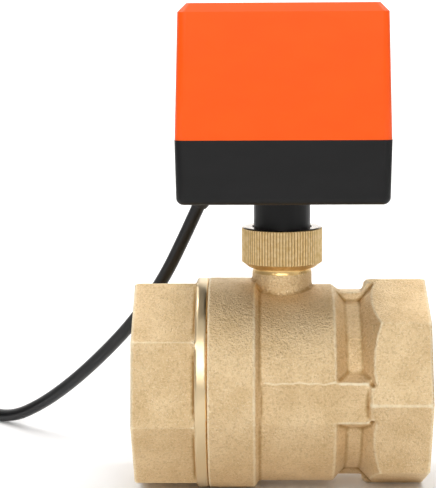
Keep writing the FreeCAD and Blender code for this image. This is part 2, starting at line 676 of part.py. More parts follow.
def switch_plunger(name):
    middle_z = sum(SWITCH_Z) / 2
    pin = rod_along(PLUNGER_R, V(PLUNGER_TIP, 0, middle_z), V(1, 0, 0), 4.6)
    tip = [e for e in pin.Edges if e.BoundBox.XMax < PLUNGER_TIP + 0.01]
    return facing(pin.makeFillet(0.4, tip), name)


def switch_terminals():
    blades = []
    back = SWITCH_FACE + SWITCH_DEPTH
    middle_z = sum(SWITCH_Z) / 2
    for name in SWITCH_DIRECTIONS:
        for y in (-8.0, 0.0, 8.0):
            blade = box(back, back + 4.5, y - 1.2, y + 1.2, middle_z - 0.25, middle_z + 0.25)
            blades.append(facing(blade, name))
    return Part.makeCompound(blades)


def switch_screws():
    screws = [pan_screw(x, y, SWITCH_Z[1], 7.6, 1.0, 1.8, 1.2) for x, y in switch_hole_places()]
    return Part.makeCompound(screws)


# --- circuit board ----------------------------------------------------------------
def on_board(depth, y0, y1, rise0, rise1, edge_r):
    """Block on the outer face of the board, its outer edges rounded."""
    z = BOARD_Z[0]
    block = box(BOARD_FACE_X, BOARD_FACE_X + depth, y0, y1, z + rise0, z + rise1)
    return block.makeFillet(edge_r, [e for e in block.Edges if e.BoundBox.XMin > BOARD_FACE_X + 1])


def circuit_board():
    return box(BOARD_X, BOARD_FACE_X, -BOARD_HALF_Y, BOARD_HALF_Y, *BOARD_Z)


def board_bracket():
    """Angle that holds the board upright on the upper plate."""
    foot_z = UPPER_PLATE_Z + PLATE_T
    back_x, half_y = BOARD_X - BRACKET_T, 9.0
    leg = box(back_x, BOARD_X, -half_y, half_y, foot_z, foot_z + 14.5)
    return fused([leg, box(back_x, back_x + 10.7, -half_y, half_y, foot_z, foot_z + BRACKET_T)])


def relay():
    return on_board(14.0, -20.0, -4.5, 1.0, 19.4, 0.8)


def motor_capacitor():
    return on_board(9.0, -1.0, 16.5, 1.0, 12.0, 0.6)


def wire_connector():
    return on_board(7.0, 8.0, 20.0, 13.0, 19.8, 0.4)


# --- lead -------------------------------------------------------------------------
def cable_grommet():
    """Rubber relief: two flanges that grip the floor of the base, and a tapered nose."""
    def disc(r, start, end):
        return rod_along(r, lead_axis(start), LEAD_DIRECTION, end - start)

    nose = Part.makeCone(3.9, 3.1, GROMMET_TIP - 2.6, lead_axis(2.6), LEAD_DIRECTION)
    inner_flange = rod_along(6.0, lead_axis(-5.0), LEAD_DIRECTION, 5.0)
    inner_flange = inner_flange.common(box(-45, 0, 0, 40, FLOOR_Z, FLOOR_Z + 8))
    outer_flange = rod_along(5.2, lead_axis(-2), LEAD_DIRECTION, 4.6)
    outer_flange = outer_flange.common(box(-45, 0, 0, 40, BASE_Z - 8, BASE_Z))
    body = fused([disc(4.15, -5.0, 2.6), nose, inner_flange, outer_flange])
    return body.cut(disc(LEAD_R, -12, 12))


def inner_cable():
    """The sheathed lead inside the relief, up to where its cores come out."""
    return rod_along(LEAD_R, lead_axis(-11.0), LEAD_DIRECTION, 11.0 + GROMMET_TIP)


def cable_retainer():
    """Clip on the sheath behind the relief, so that a pull isn't taken by the cores."""
    return rod_along(4.2, lead_axis(-9.0), LEAD_DIRECTION, 2.6).cut(inner_cable())


def inner_wires():
    """Three cores from the lead, up past both plates, to the board's connector."""
    start = lead_axis(-12.0)
    wires = []
    for k in (-1, 0, 1):
        step = 1.8 * k
        route = [
            (start.x + step, start.y, start.z + 0.4), (start.x + 3 + step, start.y + 1.5, start.z + 4.0),
            (-15.0 + step, 22.0, BASE_Z + 12.1), (-10.5 + step, 28.3, BASE_Z + 15.1),
            (-10.0 + step, 28.4, BASE_Z + 26.6), (-9.5 + step, 28.2, BASE_Z + 42.0),
            (-8.0 + step, 27.9, BASE_Z + 57.0 - step), (2.0, 27.2, BASE_Z + 62.3 - step),
            (14.0, 26.0, BASE_Z + 62.8 - step), (21.4 - step, 21.5, BASE_Z + 63.0 - step * 0.5),
            (22.0 - step, 14.0 + step, BASE_Z + 63.2), (22.0 - step, 14.0 + step, BOARD_Z[0] + 19.8)]
        wires.append(cord(route, 0.75))
    return Part.makeCompound(wires)


def coil_point(r, degrees, z):
    x, y = polar(r, degrees, COIL_CENTRE.x, COIL_CENTRE.y)
    return V(x, y, z)


def lead_coil():
    middle = (COIL_CENTRE.x, COIL_CENTRE.y)
    return ring(COIL_R_IN - LEAD_R, COIL_R_OUT + LEAD_R, 0.0, 4 * LEAD_R, *middle)


def lead_tube():
    entry = coil_point(COIL_R_OUT, COIL_ENTRY_ANGLE, LEAD_R)
    route = [lead_axis(GROMMET_TIP), lead_axis(GROMMET_TIP + FIRST_RUN)] + list(LEAD_ROUTE) + [entry]
    return cord(route, LEAD_R, "lead").cut(lead_coil())


def tail_points():
    """The tail leaves the top of the coil, drops to the surface and lies along it."""
    start = coil_point(COIL_R_OUT, 180, 3 * LEAD_R)
    return [
        start, start + V(0.5, -14.0, -0.2), start + V(0.1, -30.0, -2 * LEAD_R),
        start + V(1.8, -TAIL_LENGTH, -2 * LEAD_R)]


def lead_tail():
    return cord(tail_points(), LEAD_R, "tail").cut(lead_coil())


def lead_cores():
    """The three stripped cores at the far end, fanned out on the surface."""
    points = tail_points()
    end, along = points[-1], points[-1] - points[-2]
    along.normalize()
    side = V(-along.y, along.x, 0)
    cores = []
    for k in (-1, 0, 1):
        direction = along + side * (0.11 * k)
        start = end + side * (1.25 * k) + along * (0.15 * abs(k))
        start.z = LEAD_R
        core = rod_along(CORE_R, start, direction, CORE_LENGTH - abs(k) * 2.0)
        cores.append(core)
    return Part.makeCompound(cores)


def coil_tie():
    """Strap round the whole section of the coil."""
    turn = -60.0
    mid_r = (COIL_R_IN + COIL_R_OUT) / 2
    half_w, t = COIL_R_OUT - mid_r + LEAD_R, 0.8
    strap = box(mid_r - half_w - t, mid_r + half_w + t, -1.6, 1.6, 0.0, 4 * LEAD_R + t)
    strap.rotate(V(0, 0, 0), V(0, 0, 1), turn)
    strap.translate(COIL_CENTRE)
    return strap.cut(lead_coil())


NODES = {
    "valve_body": valve_body,
    "end_cap": end_cap,
    "body_gasket": lambda: flow_rod(CAP_THREAD_R - 0.1, CHAMBER_X0 - GASKET_T, CHAMBER_X0).cut(
        flow_rod(CHAMBER_R + 0.2, CHAMBER_X0 - GASKET_T, CHAMBER_X0)),
    "inlet_seat": lambda: seat(-1),
    "outlet_seat": lambda: seat(1),
    "ball": ball,
    "stem": stem,
    "stem_o_rings": stem_o_rings,
    "stem_thrust_washer": lambda: ring(STEM_R + 0.1, SHOULDER_R + 0.1, WASHER_Z + RUNNING, COUNTERBORE_Z),
    "union_nut": union_nut,
    "actuator_base": actuator_base,
    "actuator_neck": actuator_neck,
    "neck_bush": lambda: ring(OUTPUT_SHAFT_R + RUNNING, SPIGOT_BORE_R, *BUSH_Z),
    "actuator_cover": actuator_cover,
    "cover_gasket": lambda: gasket_ring(SEAM_Z - 0.8, SEAM_Z, 0.0),
    "cover_screws": cover_screws,
    "gear_plate_lower": gear_plate_lower,
    "gear_plate_upper": gear_plate_upper,
    "plate_standoffs": plate_standoffs,
    "plate_screws": plate_screws,
    "output_shaft": output_shaft,
    "output_gear": lambda: gear(OUTPUT_TEETH, OUTPUT_GEAR_Z, (0, 0), OUTPUT_SHAFT_R, IDLER_ANGLE),
    "limit_cam": limit_cam,
    "idler_shaft": lambda: rod(IDLER_SHAFT_R, LOWER_PLATE_Z, UPPER_PLATE_Z + 1.2, *IDLER),
    "idler_pinion": lambda: gear(IDLER_PINION_TEETH, IDLER_PINION_Z, IDLER, IDLER_SHAFT_R,
                                 IDLER_ANGLE + 180 + 180 / IDLER_PINION_TEETH),
    "idler_wheel": lambda: gear(IDLER_WHEEL_TEETH, IDLER_WHEEL_Z, IDLER, IDLER_SHAFT_R, MOTOR_ANGLE),
    "motor": motor,
    "motor_shaft": lambda: rod(MOTOR_SHAFT_R, MOTOR_PINION_Z[0] - 0.4, UPPER_PLATE_Z + PLATE_T + 5.5,
                               *PINION),
    "motor_pinion": lambda: gear(MOTOR_TEETH, MOTOR_PINION_Z, PINION, MOTOR_SHAFT_R,
                                 MOTOR_ANGLE + 180 + 180 / MOTOR_TEETH),
    "motor_screws": motor_screws,
    "open_switch_case": lambda: switch_case("open"),
    "closed_switch_case": lambda: switch_case("closed"),
    "open_switch_plunger": lambda: switch_plunger("open"),
    "closed_switch_plunger": lambda: switch_plunger("closed"),
    "switch_terminals": switch_terminals,
    "switch_screws": switch_screws,
    "circuit_board": circuit_board,
    "board_bracket": board_bracket,
    "relay": relay,
    "motor_capacitor": motor_capacitor,
    "wire_connector": wire_connector,
    "inner_wires": inner_wires,
    "inner_cable": inner_cable,
    "cable_grommet": cable_grommet,
    "cable_retainer": cable_retainer,
    "lead_tube": lead_tube,
    "lead_coil": lead_coil,
    "lead_tail": lead_tail,
    "lead_cores": lead_cores,
    "coil_tie": coil_tie,
}

os.makedirs("parts", exist_ok=True)
for name, build in NODES.items():
    shape = build()
    shape.translate(V(SHIFT_X, 0, 0))
    shape.exportStep(os.path.join("parts", name + ".step"))
    box_mm = shape.BoundBox
    print(name, "solids", len(shape.Solids), "valid", shape.isValid(), "volume", round(shape.Volume, 1),
          "z", round(box_mm.ZMin, 2), round(box_mm.ZMax, 2))
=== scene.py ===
import json
import math

import bmesh
import bpy
import numpy as np
from mathutils import Matrix, Vector, noise


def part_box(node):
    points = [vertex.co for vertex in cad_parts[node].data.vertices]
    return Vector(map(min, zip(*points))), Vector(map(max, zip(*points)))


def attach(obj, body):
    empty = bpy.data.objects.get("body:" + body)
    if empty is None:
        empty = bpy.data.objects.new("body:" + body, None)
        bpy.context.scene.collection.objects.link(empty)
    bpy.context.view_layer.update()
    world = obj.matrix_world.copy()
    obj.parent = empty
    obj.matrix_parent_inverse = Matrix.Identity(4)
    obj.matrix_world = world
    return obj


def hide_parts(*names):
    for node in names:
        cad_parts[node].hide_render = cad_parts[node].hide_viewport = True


# Looks of a motor-driven brass ball valve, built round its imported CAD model.
# Metres, in the CAD model's frame: X along the flow, Y to the back, Z up.

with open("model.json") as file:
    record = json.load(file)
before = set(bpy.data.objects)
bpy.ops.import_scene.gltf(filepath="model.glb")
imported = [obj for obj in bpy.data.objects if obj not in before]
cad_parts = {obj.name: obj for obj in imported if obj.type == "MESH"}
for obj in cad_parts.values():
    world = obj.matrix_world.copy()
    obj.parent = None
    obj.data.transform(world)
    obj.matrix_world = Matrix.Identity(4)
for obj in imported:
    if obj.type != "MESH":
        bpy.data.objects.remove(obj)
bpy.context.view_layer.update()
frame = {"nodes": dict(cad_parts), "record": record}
NODES = frame["nodes"]
MM = 0.001


def middle(node):
    low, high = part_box(node)
    return (Vector(low) + Vector(high)) / 2


BODY_LOW, BODY_HIGH = (Vector(p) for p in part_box("valve_body"))
CAP_LOW, CAP_HIGH = (Vector(p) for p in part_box("end_cap"))
NUT_LOW, NUT_HIGH = (Vector(p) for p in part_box("union_nut"))
STEM_X = middle("union_nut").x
AXIS_Z = middle("end_cap").z
JOINT_X = BODY_LOW.x            # face joint between end cap and body
COLLAR_X = JOINT_X - 4.2 * MM   # where the cap's polished collar begins
COLLAR_R = (CAP_HIGH.z - CAP_LOW.z) / 2
BORE_R = 30.0 * MM              # what is nearer to the flow axis than this is machined
NECK_STEP_Z = NUT_LOW.z - 1.8 * MM  # the body's neck is turned above this step
WAIST_X = STEM_X - 8.3 * MM     # where the body's barrel narrows
OCTAGON_X = STEM_X + 29.2 * MM  # where the body's octagon begins
BAND_Y = 31.8 * MM              # the trimmed parting line lies further out than this
BAND_HALF = 7.15 * MM           # and this far above and below the flow axis
KNURL_DEPTH = 0.34 * MM


# --- materials --------------------------------------------------------------------
class Graph:
    """Short calls for building one material's nodes. Textures follow the object's own space."""

    def __init__(self, name, **sockets):
        self.material = bpy.data.materials.new(name)
        self.material.use_nodes = True
        self.tree = self.material.node_tree
        self.shader = self.tree.nodes["Principled BSDF"]
        self.place = self.node("ShaderNodeTexCoord").outputs["Object"]
        for socket, value in sockets.items():
            self.shader.inputs[socket.replace("_", " ")].default_value = value

    def node(self, kind, inputs=None, **settings):
        made = self.tree.nodes.new(kind)
        for key, value in settings.items():
            setattr(made, key, value)
        for key, value in (inputs or {}).items():
            self.put(value, made.inputs[key])
        return made

    def put(self, value, socket):
        if isinstance(value, bpy.types.NodeSocket):
            self.tree.links.new(value, socket)
        else:
            socket.default_value = value

    def link(self, value, socket):
        self.put(value, self.shader.inputs[socket])

    def noise(self, size, detail=2.0, roughness=0.5, place=None):
        """Noise with features of about that size, in metres."""
        made = self.node("ShaderNodeTexNoise", {
            "Vector": place or self.place, "Scale": 1 / size, "Detail": detail, "Roughness": roughness})
        return made.outputs["Fac"]

    def stretch(self, scale):
        """The object's space scaled along its axes, for streaks and turning marks."""
        return self.node("ShaderNodeMapping", {"Vector": self.place, "Scale": scale}).outputs["Vector"]

    def axis(self, name):
        return self.node("ShaderNodeSeparateXYZ", {"Vector": self.place}).outputs[name]

    def math(self, operation, a, b=0.0, c=0.0):
        return self.node("ShaderNodeMath", {0: a, 1: b, 2: c}, operation=operation).outputs[0]

    def spread(self, value, low, high, to_low=0.0, to_high=1.0):
        """Maps low..high to to_low..to_high, and holds the ends beyond."""
        made = self.node("ShaderNodeMapRange", {
            "Value": value, "From Min": low, "From Max": high, "To Min": to_low, "To Max": to_high})
        return made.outputs[0]

    def mix(self, share, first, second):
        """A colour between two colours. The node's sockets for these are numbers 6 and 7."""
        made = self.node("ShaderNodeMix", {0: share, 6: first, 7: second}, data_type="RGBA")
        return made.outputs[2]

    def bump(self, height, depth, strength=1.0, under=None):
        inputs = {"Height": height, "Distance": depth, "Strength": strength}
        if under is not None:
            inputs["Normal"] = under
        return self.node("ShaderNodeBump", inputs).outputs["Normal"]


def rgb(red, green, blue):
    return (red, green, blue, 1.0)


def cast_brass(name, collar=False):
    """Sand-blasted casting: pale brass with a fine grain and painted glints on it, painted shade in its
    hollows and in its corners, and edges worn bright under a painted highlight. With collar, what
    lies past COLLAR_X is turned and polished."""
    deep, pale = rgb(0.745, 0.550, 0.308), rgb(0.825, 0.628, 0.374)
    # The two darker colours below are painted shade; the two paler ones are a painted glint and a
    # painted highlight on worn edges.
    painted_pit_shade, painted_glint = rgb(0.40, 0.235, 0.095), rgb(1.0, 0.87, 0.63)
    painted_corner_shade, worn_edge_highlight = rgb(0.43, 0.25, 0.08), rgb(1.0, 0.90, 0.68)
    g = Graph(name, Metallic=1.0)
    grain = g.noise(0.90 * MM, 3.0, 0.65)
    fine = g.noise(0.42 * MM, 2.0, 0.6)
    cloud = g.noise(10.0 * MM, 3.0, 0.55)
    pit_shade_mask = g.spread(grain, 0.36, 0.50, 1.0, 0.0)
    edge = g.node("ShaderNodeAttribute", attribute_name="edge").outputs["Fac"]
    tone = g.mix(g.spread(cloud, 0.38, 0.62), deep, pale)
    # Painted shade: darker in the hollows of the grain's bump.
    tone = g.mix(g.math("MULTIPLY", pit_shade_mask, 0.32), tone, painted_pit_shade)
    # Painted glint: a pale colour where the fine noise is high.
    tone = g.mix(g.spread(fine, 0.54, 0.68, 0.0, 0.50), tone, painted_glint)
    # Painted shade in corners, where the edge attribute is below 0.
    tone = g.mix(g.spread(edge, -0.10, -0.55, 0.0, 0.85), tone, painted_corner_shade)
    # Edges worn bright, with a painted highlight: paler where the edge attribute is above 0.
    tone = g.mix(g.spread(edge, 0.22, 0.64, 0.0, 0.70), tone, worn_edge_highlight)
    rough = g.spread(cloud, 0.3, 0.7, 0.56, 0.46)
    relief = 1.0
    if collar:
        polished = g.spread(g.axis("X"), COLLAR_X + 0.22 * MM, COLLAR_X + 0.28 * MM)
        relief = g.math("SUBTRACT", 1.0, polished)
        streaks = g.noise(0.5 * MM, 3.0, 0.6, g.stretch((3.0, 0.2, 0.2)))
        tone = g.mix(polished, tone, rgb(0.76, 0.60, 0.37))
        cast_rough = g.math("MULTIPLY", rough, relief)
        collar_rough = g.math("MULTIPLY", g.spread(streaks, 0.3, 0.7, 0.30, 0.36), polished)
        rough = g.math("ADD", cast_rough, collar_rough)
    g.link(tone, "Base Color")
    g.link(rough, "Roughness")
    coarse = g.bump(g.math("MULTIPLY", grain, relief), 0.55 * MM, 1.0)
    g.link(g.bump(g.math("MULTIPLY", fine, relief), 0.28 * MM, 1.0, coarse), "Normal")
    return g.material


def machined_brass(name, tone=(0.86, 0.64, 0.34), rough=0.24, ring_axis="X"):
    """Turned brass: smooth, with fine tool rings along its axis."""
    ring_width = 0.16 * MM
    g = Graph(name, Metallic=1.0)
    along = g.math("MULTIPLY", g.axis(ring_axis), 1 / ring_width)
    drift = g.noise(2.0 * MM, 1.0)
    rings = g.math("SINE", g.math("ADD", along, g.math("MULTIPLY", drift, 1.5)))
    cloud = g.noise(5.0 * MM, 2.0)
    dark = tuple(c * 0.86 for c in tone)
    g.link(g.mix(g.spread(cloud, 0.35, 0.65), rgb(*dark), rgb(*tone)), "Base Color")
    g.link(g.spread(cloud, 0.3, 0.7, rough + 0.06, rough - 0.04), "Roughness")
    g.link(g.bump(rings, 0.004 * MM, 0.6), "Normal")
    return g.material


def knurled_brass():
    """The union nut: satin on its knurls, with painted shade between them, smoother and greyer on its
    top face.
    """
    plain_foot = 1.5 * MM
    nut_r = (NUT_HIGH.x - NUT_LOW.x) / 2
    g = Graph("knurled_brass", Metallic=1.0)
    top = g.spread(g.axis("Z"), NUT_HIGH.z - 0.35 * MM, NUT_HIGH.z - 0.1 * MM)
    cloud = g.noise(1.6 * MM, 3.0, 0.6)
    sides = g.mix(g.spread(cloud, 0.35, 0.65), rgb(0.72, 0.51, 0.23), rgb(0.88, 0.67, 0.37))
    out = g.math("SUBTRACT", g.axis("X"), STEM_X)
    squares = g.math("ADD", g.math("POWER", out, 2.0), g.math("POWER", g.axis("Y"), 2.0))
    radius = g.math("SQRT", squares)
    # Painted shade: darker between the knurls, by the distance from the stem.
    painted_groove_shade = g.spread(radius, nut_r - KNURL_DEPTH, nut_r - 0.08 * MM, 0.70, 0.0)
    foot_z = NUT_LOW.z + plain_foot
    knurled = g.spread(g.axis("Z"), foot_z, foot_z + 0.3 * MM)
    sides = g.mix(g.math("MULTIPLY", painted_groove_shade, knurled), sides, rgb(0.24, 0.135, 0.045))
    g.link(g.mix(top, sides, rgb(0.54, 0.48, 0.41)), "Base Color")
    worn = g.spread(cloud, 0.3, 0.7, 0.42, 0.30)
    g.link(g.math("MULTIPLY", worn, g.spread(top, 0.0, 1.0, 1.0, 0.6)), "Roughness")
    g.link(g.bump(g.noise(0.25 * MM, 2.0), 0.02 * MM, 0.6), "Normal")
    return g.material


def moulded_plastic(name, tone, rough, grain=0.35 * MM, depth=0.006 * MM, shade=0.93, **sockets):
    """Injection-moulded plastic: an even tone, faint flow marks and a fine spark-eroded grain."""
    g = Graph(name, **sockets)
    flow = g.noise(14.0 * MM, 2.0, 0.5, g.stretch((1.0, 1.0, 2.2)))
    deep = tuple(c * shade for c in tone)
    g.link(g.mix(g.spread(flow, 0.35, 0.65), rgb(*deep), rgb(*tone)), "Base Color")
    g.link(g.spread(g.noise(3.0 * MM, 2.0), 0.3, 0.7, rough + 0.03, rough - 0.03), "Roughness")
    g.link(g.bump(g.noise(grain, 2.0, 0.6), depth, 0.7), "Normal")
    return g.material


def plated_steel(name, tone=(0.62, 0.62, 0.61), rough=0.32):
    """Zinc-plated sheet and turned steel: bright, with a slight crystalline bloom."""
    g = Graph(name, Metallic=1.0)
    bloom = g.noise(1.8 * MM, 3.0, 0.65)
    dark = tuple(c * 0.85 for c in tone)
    g.link(g.mix(g.spread(bloom, 0.35, 0.65), rgb(*dark), rgb(*tone)), "Base Color")
    g.link(g.spread(bloom, 0.3, 0.7, rough + 0.08, rough - 0.06), "Roughness")
    g.link(g.bump(g.noise(0.3 * MM, 2.0), 0.004 * MM, 0.5), "Normal")
    return g.material


MATERIALS = {
    "cast_brass": cast_brass("cast_brass"),
    "cap_brass": cast_brass("cap_brass", collar=True),
    "turned_brass": machined_brass("turned_brass", (0.84, 0.57, 0.24), 0.30),
    "knurled_brass": knurled_brass(),
    "gear_brass": machined_brass("gear_brass", (0.80, 0.60, 0.28), 0.30, "Z"),
    "chromed_ball": plated_steel("chromed_ball", (0.78, 0.78, 0.79), 0.12),
    "stainless_steel": plated_steel("stainless_steel", (0.62, 0.61, 0.60), 0.26),
    "zinc_steel": plated_steel("zinc_steel"),
    "bright_steel": plated_steel("bright_steel", (0.58, 0.58, 0.59), 0.2),
    "motor_case": plated_steel("motor_case", (0.66, 0.66, 0.65), 0.34),
    "copper": plated_steel("copper", (0.90, 0.48, 0.30), 0.3),
    "orange_plastic": moulded_plastic("orange_plastic", (0.98, 0.101, 0.003), 0.36, shade=0.95,
                                     Specular_IOR_Level=0.25),
    "black_plastic": moulded_plastic("black_plastic", (0.008, 0.008, 0.0083), 0.40, shade=0.85,
                                    Specular_IOR_Level=0.25),
    "white_ptfe": moulded_plastic("white_ptfe", (0.86, 0.86, 0.84), 0.40),
    "acetal": moulded_plastic("acetal", (0.84, 0.83, 0.78), 0.38),
    "black_rubber": moulded_plastic("black_rubber", (0.018, 0.018, 0.018), 0.62, 0.25 * MM, 0.012 * MM,
                                   0.8),
    "switch_black": moulded_plastic("switch_black", (0.022, 0.022, 0.024), 0.40),
    "switch_red": moulded_plastic("switch_red", (0.62, 0.030, 0.022), 0.30),
    "board_green": moulded_plastic("board_green", (0.012, 0.135, 0.045), 0.22),
    "relay_blue": moulded_plastic("relay_blue", (0.018, 0.090, 0.380), 0.34),
    "capacitor_yellow": moulded_plastic("capacitor_yellow", (0.72, 0.43, 0.025), 0.34),
    "connector_white": moulded_plastic("connector_white", (0.80, 0.79, 0.73), 0.38),
    "lead_sheath": moulded_plastic("lead_sheath", (0.010, 0.010, 0.011), 0.34, 0.5 * MM, 0.010 * MM, 0.8,
                                  Specular_IOR_Level=0.35),
    "core_brown": moulded_plastic("core_brown", (0.135, 0.045, 0.018), 0.34),
    "core_blue": moulded_plastic("core_blue", (0.020, 0.110, 0.480), 0.34),
    "core_green": moulded_plastic("core_green", (0.030, 0.300, 0.080), 0.34),
}
MATERIALS["wire_insulation"] = MATERIALS["core_brown"]


# --- camera, floor, light -----------------------------------------------------------
def add_camera():
    """A view along +Y from a little left of the stem, raised and tipped down."""
    place = Vector((-0.00798, -0.580, 0.170))
    yaw, pitch, roll = -0.0250, 0.1392, -0.0055
    ahead = Vector((math.sin(yaw) * math.cos(pitch), math.cos(yaw) * math.cos(pitch), -math.sin(pitch)))
    right = ahead.cross(Vector((0, 0, 1))).normalized()
    up = right.cross(ahead)
    turn = Matrix((right, up, -ahead)).transposed() @ Matrix.Rotation(roll, 3, "Z")
    data = bpy.data.cameras.new("camera")
    data.sensor_fit = "VERTICAL"
    data.sensor_height = 36.0
    data.lens = 119.74
    data.clip_start = 0.02
    data.clip_end = 10.0
    camera = bpy.data.objects.new("camera", data)
    camera.matrix_world = Matrix.Translation(place) @ turn.to_4x4()
    bpy.context.scene.collection.objects.link(camera)
    bpy.context.scene.camera = camera


def add_floor():
    """A plain pale sweep: a floor that curves up into a wall behind."""
    front, back, radius, wall, half = -2.2, 0.75, 0.35, 1.8, 2.4
    steps = 12
    line = [(front, 0.0), (back, 0.0)]
    for k in range(1, steps + 1):
        turn = math.radians(90 * k / steps)
        line.append((back + radius * math.sin(turn), radius * (1 - math.cos(turn))))
    line.append((back + radius, wall))
    mesh = bmesh.new()
    rows = [[mesh.verts.new((x, y, z)) for x in (-half, half)] for y, z in line]
    for low, high in zip(rows, rows[1:]):
        mesh.faces.new((low[0], low[1], high[1], high[0]))
    floor = as_object(mesh, "studio_floor")
    shade_smooth(floor)
    g = Graph("floor_white", Roughness=0.85, Specular_IOR_Level=0.2)
    g.link(g.mix(g.noise(0.3, 1.0), rgb(0.90, 0.90, 0.90), rgb(0.92, 0.92, 0.92)), "Base Color")
    floor.data.materials.append(g.material)


def add_softbox(name, place, target, width, height, power):
    data = bpy.data.lights.new(name, "AREA")
    data.shape = "RECTANGLE"
    data.size, data.size_y = width, height
    data.energy = power
    lamp = bpy.data.objects.new(name, data)
    lamp.location = place
    lamp.rotation_euler = (Vector(target) - Vector(place)).to_track_quat("-Z", "Y").to_euler()
    bpy.context.scene.collection.objects.link(lamp)


def add_light():
    world = bpy.data.worlds.new("studio")
    world.use_nodes = True
    background = world.node_tree.nodes["Background"]
    background.inputs["Color"].default_value = rgb(1.0, 0.98, 0.95)
    background.inputs["Strength"].default_value = 0.35
    bpy.context.scene.world = world
    aim = (0, 0, 0.08)
    add_softbox("key", (-0.18, -0.82, 0.74), aim, 1.0, 0.6, 5.2)
    add_softbox("fill", (0.80, -0.50, 0.30), aim, 0.5, 0.8, 0.7)
    add_softbox("front", (0.05, -1.00, 0.46), aim, 0.8, 0.4, 1.5)
    add_softbox("top", (0.0, 0.05, 1.1), aim, 0.9, 0.6, 1.7)
    add_softbox("wall_wash", (0.0, 0.45, 1.2), (0, 1.1, 0.35), 1.6, 0.4, 16.0)
    bpy.context.scene.view_settings.view_transform = "Standard"


# --- meshes -------------------------------------------------------------------------
def as_object(mesh, name):
    data = bpy.data.meshes.new(name)
    mesh.to_mesh(data)
    mesh.free()
    made = bpy.data.objects.new(name, data)
    bpy.context.scene.collection.objects.link(made)
    return made


def shade_smooth(obj):
    for face in obj.data.polygons:
        face.use_smooth = True


def evaluated_mesh(obj):
    """A mesh of the object with its modifiers applied."""
    graph = bpy.context.evaluated_depsgraph_get()
    return bpy.data.meshes.new_from_object(obj.evaluated_get(graph), depsgraph=graph)


# --- the lead -----------------------------------------------------------------------
LEAD_R = 2.5 * MM
LEAD_ROUTE = [
    (-0.02986, 0.01882, 0.10092),
    (-0.03651, 0.02428, 0.08625),
    (-0.04460, 0.03100, 0.07000),
    (-0.05640, 0.04080, 0.05260),
    (-0.06940, 0.05170, 0.03760),
    (-0.08360, 0.06340, 0.02320),
    (-0.09820, 0.07550, 0.01100),
    (-0.11260, 0.08740, 0.00250),
    (-0.12800, 0.10080, 0.00250),
]
COIL_CENTRE = Vector((-0.16140, 0.08900, 0.0))
COIL_ENTRY = 50.9               # degrees round the coil's centre
COIL_END = 180.0 + 3 * 360.0
COIL_OUT, COIL_IN = 30.1 * MM, 25.0 * MM    # radii of the outer and inner turns
GO_IN = (300, 360)              # degrees from the entry over which the coil changes its course
GO_UP = (600, 660)
GO_OUT = (900, 960)
LAYERS = (LEAD_R, 7.55 * MM)    # heights of the lower and upper turns
TAIL = ((0.0005, -0.0140, -0.0002), (0.0001, -0.0300, -0.0050), (0.0018, -0.0460, -0.0050))
CORE_R = 0.8 * MM
CORE_LENGTH = 19 * MM
COPPER_R = 0.5 * MM


def eased(value, start, end):
    """Goes smoothly from 0 at start to 1 at end."""
    share = min(1.0, max(0.0, (value - start) / (end - start)))
    return share * share * (3 - 2 * share)


def coil_points():
    """An outer and an inner turn on the floor, then up and out over them in a second layer."""
    points = []
    step = 15.0
    count = round((COIL_END - COIL_ENTRY) / step)
    for k in range(count + 1):
        along = (COIL_END - COIL_ENTRY) * k / count
        inward = eased(along, *GO_IN) - eased(along, *GO_OUT)
        radius = COIL_OUT + (COIL_IN - COIL_OUT) * inward
        height = LAYERS[0] + (LAYERS[1] - LAYERS[0]) * eased(along, *GO_UP)
        turn = math.radians(COIL_ENTRY + along)
        points.append(COIL_CENTRE + Vector((radius * math.cos(turn), radius * math.sin(turn), height)))
    return points


def tail_points():
    start = COIL_CENTRE + Vector((-COIL_OUT, 0, LAYERS[1]))
    return [start + Vector(step) for step in TAIL]


def round_cord(name, points, radius, material, roundness=6):
    """A round cord on a NURBS line that has these points as its control points."""
    data = bpy.data.curves.new(name, "CURVE")
    data.dimensions = "3D"
    spline = data.splines.new("NURBS")
    spline.points.add(len(points) - 1)
    for control, point in zip(spline.points, points):
        control.co = (*point, 1.0)
    spline.order_u = 3
    spline.use_endpoint_u = True
    spline.resolution_u = 6
    data.bevel_depth = radius
    data.bevel_resolution = roundness
    data.use_fill_caps = True
    data.materials.append(MATERIALS[material])
    made = bpy.data.objects.new(name, data)
    bpy.context.scene.collection.objects.link(made)
    return made


def add_lead():
    route = [Vector(p) for p in LEAD_ROUTE] + coil_points() + tail_points()
    lead = round_cord("control_lead", route, LEAD_R, "lead_sheath")
    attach(lead, "housing")
    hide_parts("lead_tube", "lead_coil", "lead_tail")
    cores = add_cores(route[-1], (route[-1] - route[-2]).normalized())


def add_cores(end, along):
    """Three insulated cores fan out of the sheath on the floor, each with a bare copper tip."""
    side = Vector((-along.y, along.x, 0))
    drop = LEAD_R - CORE_R - 0.05 * MM
    pieces = []
    for k, colour in ((-1, "core_brown"), (0, "core_blue"), (1, "core_green")):
        start = end + side * (1.0 * MM * k) - along * (0.6 * MM)
        points = []
        for share in (0.0, 0.25, 0.55, 1.0):
            fan = (2.4 * share + 0.5 * math.sin(3 * share + k)) * k * MM
            sink = drop * eased(share, 0.0, 0.6)
            points.append(start + along * (CORE_LENGTH * share) + side * fan - Vector((0, 0, sink)))
        core = round_cord("lead_" + colour, points, CORE_R, colour, 3)
        tip_way = (points[-1] - points[-2]).normalized()
        tip_points = [points[-1] + tip_way * (step * MM) for step in (-1, 2, 5)]
        tip = round_cord("bare_" + colour, tip_points, COPPER_R, "copper", 3)
        for piece in (core, tip):
            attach(piece, "housing")
            pieces.append(piece)
    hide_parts("lead_cores")
    return pieces


